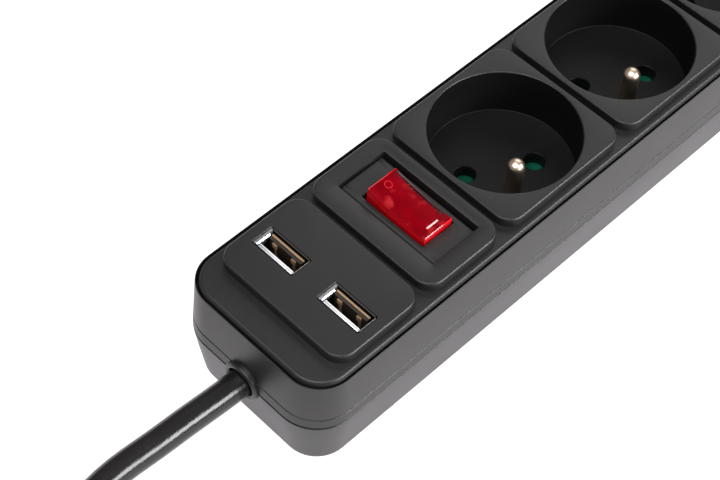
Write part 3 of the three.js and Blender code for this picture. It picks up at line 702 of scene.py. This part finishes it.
def add_socket_pad(n):
    x = SOCKET_X[n]
    outside = pad_rim(PAD_HALF_Y, x)
    lip = fillet(WELL_R, PAD_Z - 0.45, WELL_R + 0.45, PAD_Z)[::-1]
    levels = [*lip, (WELL_R, COVER_UNDER_Z), (WELL_R + 1, COVER_UNDER_Z)]
    inside = [circle_to(outside[0], x, 0, r, z) for r, z in levels]
    mesh = Mesh()
    mesh.loft(outside + inside, closed=True)
    pad = mesh.object(f"socket_pad_{n}", black)
    # The pad's wall round the well gets the same painted shade.
    paint_faces(pad, well_black, lambda at, normal: math.hypot(at.x - x, at.y) < WELL_R + 0.02)
    return place(pad, "casing_black")


def add_switch_pad():
    outside = pad_rim(SWITCH_PAD_HALF, SWITCH_PAD_X)
    levels = [(0.2, PAD_Z), (0.06, PAD_Z - 0.08), (0, PAD_Z - 0.25), (0, COVER_UNDER_Z)]
    inside = [rounded(8.1 + out, 16.4 + out, 0.3, z, SWITCH_X) for out, z in levels]
    mesh = Mesh()
    mesh.loft(outside + inside, closed=True)
    return place(mesh.object("switch_pad", black), "casing_black")


def add_usb_pad():
    outside = pad_rim(USB_PAD_HALF, USB_PAD_X)
    outside[0] = rounded(USB_PAD_HALF, PAD_HALF_Y, PAD_CORNER_R, COVER_UNDER_Z, USB_PAD_X)
    mesh = Mesh()
    mesh.loft(outside)
    pad = mesh.object("usb_pad", black)
    tool = Mesh()
    for side in (1, -1):
        levels = [(0, 30), (0, PAD_Z - 0.2), (0.12, PAD_Z - 0.05), (0.3, PAD_Z + 0.2)]
        tool.loft([rounded(3.3 + out, 7.0 + out, 0.4, z, PORT_X, side * PORT_Y, arc=4, side=2)
                   for out, z in levels])
    cut(pad, tool.object("tool", black))
    return place(pad, "casing_black")


def add_screw(n):
    """A countersunk cross-head screw, seen in its well under the tray."""
    x, y, _ = centre_mm(f"case_screw_{n}")
    profile = [(0.01, 0.7), (2.2, 0.75), (2.6, 1.0), (2.7, 1.3), (2.7, 2.6), (1.3, 2.7)]
    profile += [(1.3, 28.9), (0.01, 28.9)]
    mesh = Mesh()
    mesh.loft(lathe(profile, x, y, 40))
    screw = mesh.object(f"screw_{n}", steel)
    for hx, hy in ((1.5, 0.32), (0.32, 1.5)):
        cut(screw, Mesh().box(x - hx, x + hx, y - hy, y + hy, 0, 1.7).object("tool", steel))
    return place(screw, "steel", f"case_screw_{n}")


add_tray()
add_frame()
add_collar()
add_cover()
add_switch_pad()
add_usb_pad()
for n in SOCKETS:
    add_socket_pad(n)
for n in SCREWS:
    add_screw(n)


# ---------- sockets ----------
def turned(along, across):
    """A place on the socket's floor from its distances along and across the line of holes."""
    return (along * math.cos(SOCKET_TURN) - across * math.sin(SOCKET_TURN),
            along * math.sin(SOCKET_TURN) + across * math.cos(SOCKET_TURN))


def add_well(n):
    """A round cup whose floor has two pin holes, above the shutter, and the earth pin's hole."""
    x = SOCKET_X[n]
    floor = fillet(WELL_R, WELL_FLOOR_Z + 0.25, WELL_R - 0.25, WELL_FLOOR_Z, steps=3)
    skirt_z = box_mm(f"socket_cup_{n}")[0][2]
    under_z = box_mm(f"shutter_{n}")[1][2] + 0.3
    profile = [(WELL_R + 1.2, skirt_z), (WELL_R + 1.2, SEAT_Z), (WELL_R, COVER_UNDER_Z - 0.04), *floor]
    profile += [(0.01, WELL_FLOOR_Z), (0.01, under_z), (WELL_R - 0.6, under_z), (WELL_R - 0.6, skirt_z)]
    mesh = Mesh()
    mesh.loft(lathe(profile, x, 0, 128), closed=True)
    # The cup is in the darker plastic, painted as the recess's shade.
    well = mesh.object(f"well_{n}", well_black)
    tool = Mesh()
    for along in (-PIN_SPACING / 2, PIN_SPACING / 2):
        dx, dy = turned(along, 0)
        tool.loft(lathe([(2.8, 19), (2.8, 22.8), (3.2, 23.2)], x + dx, dy, 40))
    dx, dy = turned(0, -EARTH_OFFSET)
    tool.loft(lathe([(PIN_R + 0.15, 19), (PIN_R + 0.15, 22.9), (PIN_R + 0.5, 23.2)], x + dx, dy, 40))
    cut(well, tool.object("tool", well_black))
    return place(well, "well_black", f"socket_cup_{n}")


def add_earth_pin(n):
    """A round-ended pin on a flange that sits under the well's floor."""
    dx, dy = turned(0, -EARTH_OFFSET)
    top = box_mm(f"earth_pin_{n}")[1][2]
    tip = [(PIN_R * math.cos(a), top - PIN_R + PIN_R * math.sin(a)) for a in
           (math.radians(6 * k) for k in range(16))]
    profile = [(0.01, 16.7), (PIN_R + 1, 16.7), (PIN_R + 1, 18.2), (PIN_R, 18.2), *tip]
    mesh = Mesh()
    mesh.loft(lathe(profile, SOCKET_X[n] + dx, dy, 48))
    return place(mesh.object(f"earth_pin_metal_{n}", nickel), "nickel", f"earth_pin_{n}")


for n in SOCKETS:
    add_well(n)
    add_earth_pin(n)


# ---------- switch ----------
ROCKER_PIVOT = centre_mm("rocker_pin")
ROCKER_TILT = math.radians(6)
ROCKER_HALF_X, ROCKER_HALF_Y = 4.9, 10.0
ROCKER_END_Z = 6.9
ROCKER_DIP = 0.95


def add_bezel():
    """The housing: a flat top that slopes off on both long sides, and a window for the rocker."""
    levels = [(7.75, 16.05, 30), (7.75, 16.05, BEZEL_Z - 1.3), (7.65, 16.04, BEZEL_Z - 1.1),
              (6.9, 16, BEZEL_Z - 0.08), (6.7, 15.9, BEZEL_Z)]
    outside = [rounded(hx, hy, 0.3, z, SWITCH_X, arc=4, side=8) for hx, hy, z in levels]
    levels = [(5.65, 10.85, BEZEL_Z), (5.5, 10.7, BEZEL_Z - 0.06), (5.42, 10.62, BEZEL_Z - 0.25),
              (5.4, 10.6, 22)]
    inside = [rounded(hx, hy, 0.25, z, SWITCH_X, arc=4, side=8) for hx, hy, z in levels]
    mesh = Mesh()
    mesh.loft(outside + inside + [rounded(7.75, 14, 0.3, 22, SWITCH_X, arc=4, side=8)], closed=True)
    mesh.box(SWITCH_X - 7.75, SWITCH_X + 7.75, -14, 14, 11, 22)
    return place(mesh.object("switch_bezel", bezel_black), "casing_black", "switch_housing")


def tilted(points):
    """Turns the rocker's points about its pivot to the switched-on position."""
    turn = Matrix.Rotation(ROCKER_TILT, 3, "X")
    origin = Vector(ROCKER_PIVOT)
    return [tuple(origin + turn @ Vector(p)) for p in points]


def rocker_top_z(y):
    """The height of the rocker's top over its pivot, lowest at the middle."""
    return ROCKER_END_Z - ROCKER_DIP * (1 - (y / ROCKER_HALF_Y) ** 2)


def add_rocker():
    """The lens: a bowed top, chamfered ends and eased long edges."""
    hx, hy, edge = ROCKER_HALF_X, ROCKER_HALF_Y, 0.4
    bow = [(hy - edge) * (1 - k / 10) for k in range(21)]
    outline = [(-hy, -1), (-hy + 1.6, -3.6), (hy - 1.6, -3.6), (hy, -1), (hy, ROCKER_END_Z - edge)]
    corner = [(hy - 0.05, ROCKER_END_Z - 0.26), (hy - 0.34, ROCKER_END_Z - 0.04)]
    outline += corner
    outline += [(y, rocker_top_z(y)) for y in bow]
    outline += [(-y, z) for y, z in reversed(corner)]
    outline += [(-hy, ROCKER_END_Z - edge)]
    sides = [(-hx, 0.3), (-hx + 0.09, 0.09), (-hx + 0.3, 0), (hx - 0.3, 0), (hx - 0.09, 0.09), (hx, 0.3)]
    rings = []
    for x, inset in sides:
        grow = [(y * (1 - inset / hy), 1.5 + (z - 1.5) * (1 - inset / 5)) for y, z in outline]
        rings.append(tilted([(x, y, z) for y, z in grow]))
    mesh = Mesh()
    mesh.loft(rings)
    rocker = mesh.object("rocker_lens", rocker_red)
    # The top faces get the darker red with the painted lamp light; the sides keep the brighter painted
    # red.
    paint_faces(rocker, rocker_top_painted_light, lambda at, normal: abs(normal.z) > 0.9 and at.z > ROCKER_PIVOT[2])
    return place(rocker, "rocker_red", "rocker", body="rocker")


def add_painted_reflection_strip():
    """A toothed dark strip along the +X edge of the lens, painted as a serrated dark reflection."""
    x1 = ROCKER_HALF_X - 0.3
    outline = [(x1, ROCKER_HALF_Y - 0.8)]
    for k in range(13):
        y = ROCKER_HALF_Y - 0.8 - 1.3 * k
        outline += [(x1 - 0.95, y), (x1 - 0.85, y - 0.65), (x1 - 0.3, y - 0.75), (x1 - 0.35, y - 1.2)]
    outline += [(x1, outline[-1][1])]
    mesh = Mesh()
    mesh.loft([tilted([(x, y, rocker_top_z(y) + lift) for x, y in outline]) for lift in (-0.2, 0.03)])
    return place(mesh.object("rocker_reflection_strip", painted_reflection_red), "rocker_red", body="rocker")


def add_rocker_marks():
    """A bar on the near end and a faint ring on the far end, just proud of the lens."""
    mesh = Mesh()
    bar = [(-1.9, -8.0), (1.9, -8.0), (1.9, -7.5), (-1.9, -7.5)]
    mesh.loft([tilted([(x, y, rocker_top_z(y) + lift) for x, y in bar]) for lift in (-0.1, 0.03)])
    place(mesh.object("rocker_bar", print_white), "rocker_red", body="rocker")
    mesh = Mesh()
    rings = []
    for r, lift in ((1.1, -0.1), (1.1, 0.03), (0.85, 0.03), (0.85, -0.1)):
        rings.append(tilted([(x, y, rocker_top_z(y) + lift) for x, y, _ in circle(0, 7.6, r, 0, 32)]))
    mesh.loft(rings, closed=True)
    place(mesh.object("rocker_ring", print_faint), "rocker_red", body="rocker")


add_bezel()
add_rocker()
add_painted_reflection_strip()
add_rocker_marks()


# ---------- USB ports ----------
PORT_HALF = (3.2, 6.9)
PORT_SHELL = 0.3
TONGUE_HALF_Y = 5.6
CONTACT_Y = 3.3


def add_port(n, side):
    """A shell darkened as painted shade, with a broad lip towards the cord end painted bright as a
    highlight, a grey painted sheen on the far end, and a tongue on the far side.
    """
    low, high = box_mm(f"usb_shell_{n}")
    x, y = PORT_X, side * PORT_Y
    hx, hy = PORT_HALF
    top = high[2]

    def wall(inset, z):
        return rounded(hx - inset, hy - inset, 0.5 - inset, z, x, y, arc=5, side=3)

    rings = [wall(0, low[2]), wall(0, top - 0.1), wall(0.1, top - 0.02), wall(PORT_SHELL, top - 0.1),
             wall(PORT_SHELL, low[2])]
    mesh = Mesh()
    mesh.loft(rings, closed=True)
    # The shell's steel is darkened as painted shade.
    place(mesh.object(f"port_shell_{n}", port_steel_painted_shade), "steel", f"usb_shell_{n}")

    def painted_sheen_edge(x0, x1, y0, y1, z):
        """A metal edge, rounded over across its width, in a steel painted lighter as a reflection."""
        mesh.loft([rounded((x1 - x0) / 2 - inset, (y1 - y0) / 2 - inset, 0.2, z - drop,
                           (x0 + x1) / 2, (y0 + y1) / 2, arc=4, side=2)
                   for inset, drop in ((0, 2.5), (0, 0.2), (0.06, 0.06), (0.2, 0))])

    mesh = Mesh()
    # The lip towards the cord end, painted bright as a highlight.
    painted_sheen_edge(x - hx + 0.12, x - hx + 1.15, y - hy + 0.25, y + hy - 1.75, top + 0.02)
    # A thin bar at the far end, painted bright as a highlight too.
    bar = [(-0.95, -0.2), (-1.25, -0.6), (-1.25, -0.9), (-0.95, -0.9)]
    mesh.loft([[(px, y + hy + py, top + pz) for py, pz in bar] for px in (x - hx + 0.5, x + hx - 1.6)])
    place(mesh.object(f"port_lip_highlight_{n}", port_steel_painted_highlight), "steel")
    mesh = Mesh()
    # The far end's edge, painted as a grey sheen.
    painted_sheen_edge(x - hx + 0.1, x + hx - 0.4, y + hy - 0.95, y + hy - 0.05, top + 0.03)
    place(mesh.object(f"port_end_sheen_{n}", port_steel_painted_sheen), "steel")

    low, high = box_mm(f"usb_tongue_{n}")
    face, back = x + 1.1, x + 2.5
    mesh = Mesh()
    mesh.box(face, back, y - TONGUE_HALF_Y + 0.05, y + TONGUE_HALF_Y - 0.05, low[2] + 1, high[2] - 0.1)
    mesh.loft([rounded(2.0, 5.9, 0.3, z, x + 0.2, y, arc=3, side=3) for z in (low[2], low[2] + 2)])
    # The tongue's face is painted dark brown as the shade inside the port.
    place(mesh.object(f"port_tongue_{n}", tongue_painted_shade), "tongue_cream", f"usb_tongue_{n}")
    mesh = Mesh()
    mesh.loft([rounded(0.26, TONGUE_HALF_Y, 0.1, high[2] + lift, x + 2.2, y, arc=3, side=3)
               for lift in (-0.1, 0.15)])
    place(mesh.object(f"port_tongue_edge_{n}", tongue_tan), "tongue_cream")

    mesh = Mesh()
    for offset in (-CONTACT_Y, CONTACT_Y):
        cy = y + offset
        mesh.box(face - 0.1, face + 0.1, cy - 0.45, cy + 0.45, low[2] + 2, high[2] - 2)
        mesh.box(face - 0.5, face + 0.1, cy - 0.75, cy + 0.75, high[2] - 1.9, high[2] - 0.5)
    place(mesh.object(f"port_contacts_{n}", contact_tan), "brass")


add_port(1, 1)
add_port(2, -1)


# ---------- floor and light ----------
def add_floor():
    """A floor just under the strip, seen only from above, so the underside shows from below."""
    material = bpy.data.materials.new("floor")
    material.use_nodes = True
    nodes, links = material.node_tree.nodes, material.node_tree.links
    bsdf = nodes["Principled BSDF"]
    bsdf.inputs["Base Color"].default_value = (0.25, 0.25, 0.25, 1)
    bsdf.inputs["Emission Color"].default_value = (1, 0.965, 1, 1)
    bsdf.inputs["Emission Strength"].default_value = 1.04
    bsdf.inputs["Roughness"].default_value = 0.9
    bsdf.inputs["Specular IOR Level"].default_value = 0.1
    side = nodes.new("ShaderNodeNewGeometry")
    clear = nodes.new("ShaderNodeBsdfTransparent")
    faces = nodes.new("ShaderNodeMixShader")
    links.new(side.outputs["Backfacing"], faces.inputs["Fac"])
    links.new(bsdf.outputs["BSDF"], faces.inputs[1])
    links.new(clear.outputs["BSDF"], faces.inputs[2])
    links.new(faces.outputs["Shader"], nodes["Material Output"].inputs["Surface"])
    size, z = 6, -0.0003
    data = bpy.data.meshes.new("floor")
    corners = [(-size, -size, z), (size, -size, z), (size, size, z), (-size, size, z)]
    data.from_pydata(corners, [], [(0, 1, 2, 3)])
    data.materials.append(material)
    floor = bpy.data.objects.new("floor", data)
    bpy.context.collection.objects.link(floor)


def add_light(name, at, towards, width, height, power):
    data = bpy.data.lights.new(name, "AREA")
    data.shape = "RECTANGLE"
    data.size = width
    data.size_y = height
    data.energy = power
    light = bpy.data.objects.new(name, data)
    light.location = at
    light.rotation_euler = (Vector(towards) - Vector(at)).to_track_quat("-Z", "Y").to_euler()
    bpy.context.collection.objects.link(light)


def add_world(color):
    world = bpy.data.worlds.new("studio")
    world.use_nodes = True
    world.node_tree.nodes["Background"].inputs["Color"].default_value = (*color, 1)
    bpy.context.scene.world = world


add_floor()
add_world((0.25, 0.23, 0.235))
add_light("overhead", (-0.7, -0.1, 1.7), (-0.05, 0, 0), 1.6, 1.6, 30)
add_light("far_box", (1.15, 0.51, 0.99), (0, 0, 0), 1.2, 1.2, 6.0)
add_light("side_box", (0.35, -1.15, 0.62), (-0.05, 0, 0), 1.0, 0.55, 28)
bpy.context.scene.view_settings.view_transform = "Standard"
